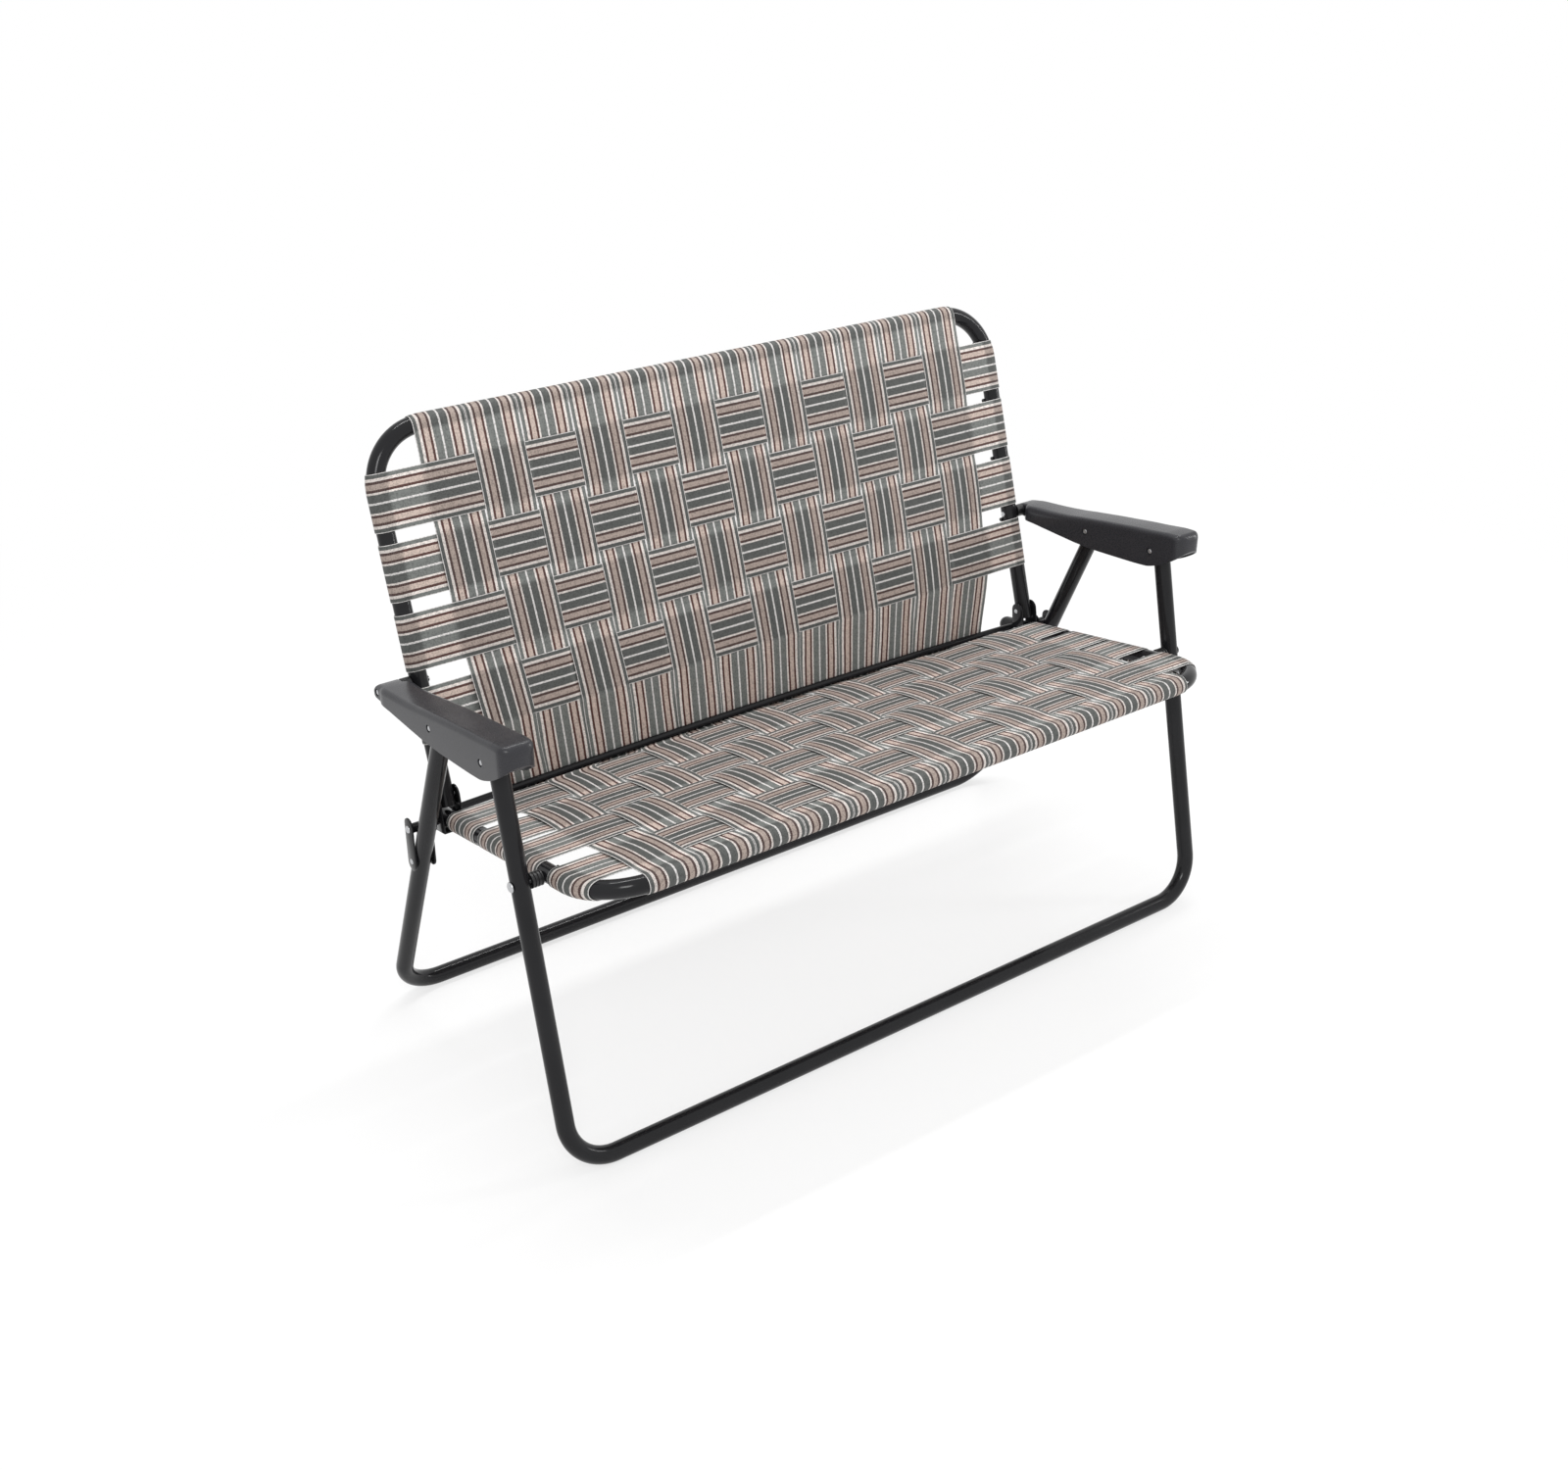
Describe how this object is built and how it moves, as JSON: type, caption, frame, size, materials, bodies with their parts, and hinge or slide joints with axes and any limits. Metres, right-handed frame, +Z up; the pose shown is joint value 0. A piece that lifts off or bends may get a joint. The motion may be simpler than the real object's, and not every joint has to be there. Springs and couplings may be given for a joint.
{
  "type": "folding two-seat webbed bench",
  "caption": "Folding outdoor bench: bent tube frames riveted into a folding linkage, woven strap seat and back, and moulded arm rests.",
  "frame": {"origin": "on the floor, under the middle of the bench", "axes": "+Z up, +X along the bench, the seat faces -Y"},
  "size_m": [1.056, 0.514, 0.7704],
  "materials": {
    "frame": "satin dark grey powder coat on steel tube",
    "webbing": "striped woven polypropylene strap",
    "armrest": "dark grey moulded plastic, fine grain",
    "spacer": "black moulded plastic",
    "rivet": "bright zinc plated steel"
  },
  "bodies": {
    "seat": {"seat_frame": "frame", "crease_bar": "frame", "hinge_bracket_right": "frame", "hinge_pin_right": "rivet", "seat_bolt_right": "frame", "seat_spacer_right": "spacer", "link_axle_right": "rivet", "hinge_bracket_left": "frame", "hinge_pin_left": "rivet", "seat_bolt_left": "frame", "seat_spacer_left": "spacer", "link_axle_left": "rivet", "long_web_seat_1": "webbing", "long_web_seat_2": "webbing", "long_web_seat_3": "webbing", "long_web_seat_4": "webbing", "long_web_seat_5": "webbing", "long_web_seat_6": "webbing", "long_web_seat_7": "webbing", "long_web_seat_8": "webbing", "long_web_seat_9": "webbing", "long_web_seat_10": "webbing", "long_web_seat_11": "webbing", "long_web_seat_12": "webbing", "cross_web_seat_1": "webbing", "cross_web_seat_2": "webbing", "cross_web_seat_3": "webbing", "cross_web_seat_4": "webbing"},
    "back": {"back_frame": "frame", "long_web_back_1": "webbing", "long_web_back_2": "webbing", "long_web_back_3": "webbing", "long_web_back_4": "webbing", "long_web_back_5": "webbing", "long_web_back_6": "webbing", "long_web_back_7": "webbing", "long_web_back_8": "webbing", "long_web_back_9": "webbing", "long_web_back_10": "webbing", "long_web_back_11": "webbing", "long_web_back_12": "webbing", "cross_web_back_1": "webbing", "cross_web_back_2": "webbing", "cross_web_back_3": "webbing", "cross_web_back_4": "webbing", "arm_bolt_right": "rivet", "arm_spacer_right": "spacer", "arm_bolt_left": "rivet", "arm_spacer_left": "spacer"},
    "front_leg": {"front_leg_frame": "frame"},
    "arms": {"arm_right": "armrest", "arm_left": "armrest", "arm_rivet_right": "rivet", "arm_rivet_left": "rivet"},
    "rear_leg": {"rear_leg_frame": "frame"},
    "links": {"link_inner_right": "frame", "link_inner_left": "frame", "link_outer_right": "frame", "link_outer_left": "frame"}
  },
  "joints": [
    {"name": "back_fold", "type": "hinge", "parent": "seat", "child": "back", "pos_m": [0, 0.11521, 0.33976], "axis": [1, 0, 0], "range_deg": [0, 78]},
    {"name": "front_leg_fold", "type": "hinge", "parent": "seat", "child": "front_leg", "pos_m": [0, -0.13681, 0.35598], "axis": [1, 0, 0], "range_deg": [0, 81]},
    {"name": "arm_fold", "type": "hinge", "parent": "back", "child": "arms", "pos_m": [0, 0.15743, 0.4768], "axis": [1, 0, 0], "range_deg": [-74, 0]},
    {"name": "rear_leg_fold", "type": "hinge", "parent": "arms", "child": "rear_leg", "pos_m": [0, 0.0187, 0.48825], "axis": [1, 0, 0], "range_deg": [0, 38]},
    {"name": "link_fold", "type": "hinge", "parent": "seat", "child": "links", "pos_m": [0, 0.11521, 0.31046], "axis": [1, 0, 0], "range_deg": [-88, 0]}
  ],
  "couplings": [
    {"joint": "front_leg_fold", "follows": "back_fold", "ratio": 1.034},
    {"joint": "arm_fold", "follows": "back_fold", "ratio": -0.9463},
    {"joint": "rear_leg_fold", "follows": "back_fold", "ratio": 0.4795},
    {"joint": "link_fold", "follows": "back_fold", "ratio": -1.1152}
  ]
}
